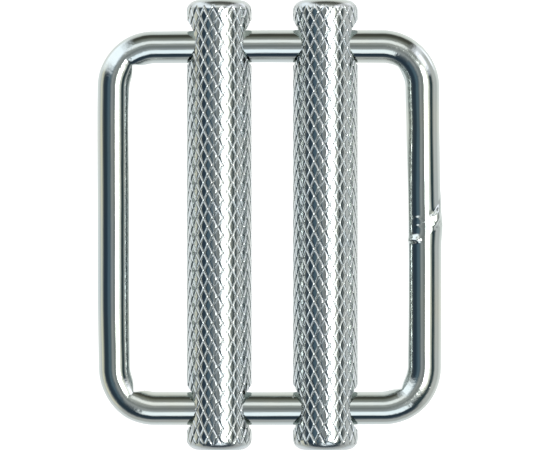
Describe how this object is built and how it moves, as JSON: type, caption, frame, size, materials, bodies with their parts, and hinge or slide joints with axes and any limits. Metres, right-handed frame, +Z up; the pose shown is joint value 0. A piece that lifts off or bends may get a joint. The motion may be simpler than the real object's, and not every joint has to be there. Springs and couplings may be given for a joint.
{
  "type": "slide buckle",
  "caption": "Closed rectangular frame of welded round wire, with knurled round bars threaded on it that slide along its cross wires to grip a webbing strap.",
  "frame": {"origin": "on the surface that the knurled bars lie on, below the middle of the buckle's box", "axes": "+Z up, at right angles to the frame; +Y along the knurled bars; +X along the cross wires, with the weld in the leg at +X"},
  "size_m": [0.0324, 0.0422, 0.0061],
  "materials": {
    "plated_wire": "nickel-plated steel wire, polished, with small pits",
    "plated_knurled_bar": "nickel-plated steel rod, diamond-knurled, satin in the grooves"
  },
  "bodies": {
    "frame": {"wire_frame": "plated_wire"},
    "left_bar": {"knurled_bar_left": "plated_knurled_bar"},
    "right_bar": {"knurled_bar_right": "plated_knurled_bar"}
  },
  "joints": [
    {"name": "left_bar_slide", "type": "slide", "parent": "frame", "child": "left_bar", "axis": [1, 0, 0], "range_m": [-0.004, 0.00187]},
    {"name": "right_bar_slide", "type": "slide", "parent": "frame", "child": "right_bar", "axis": [1, 0, 0], "range_m": [-0.00187, 0.0033]}
  ]
}
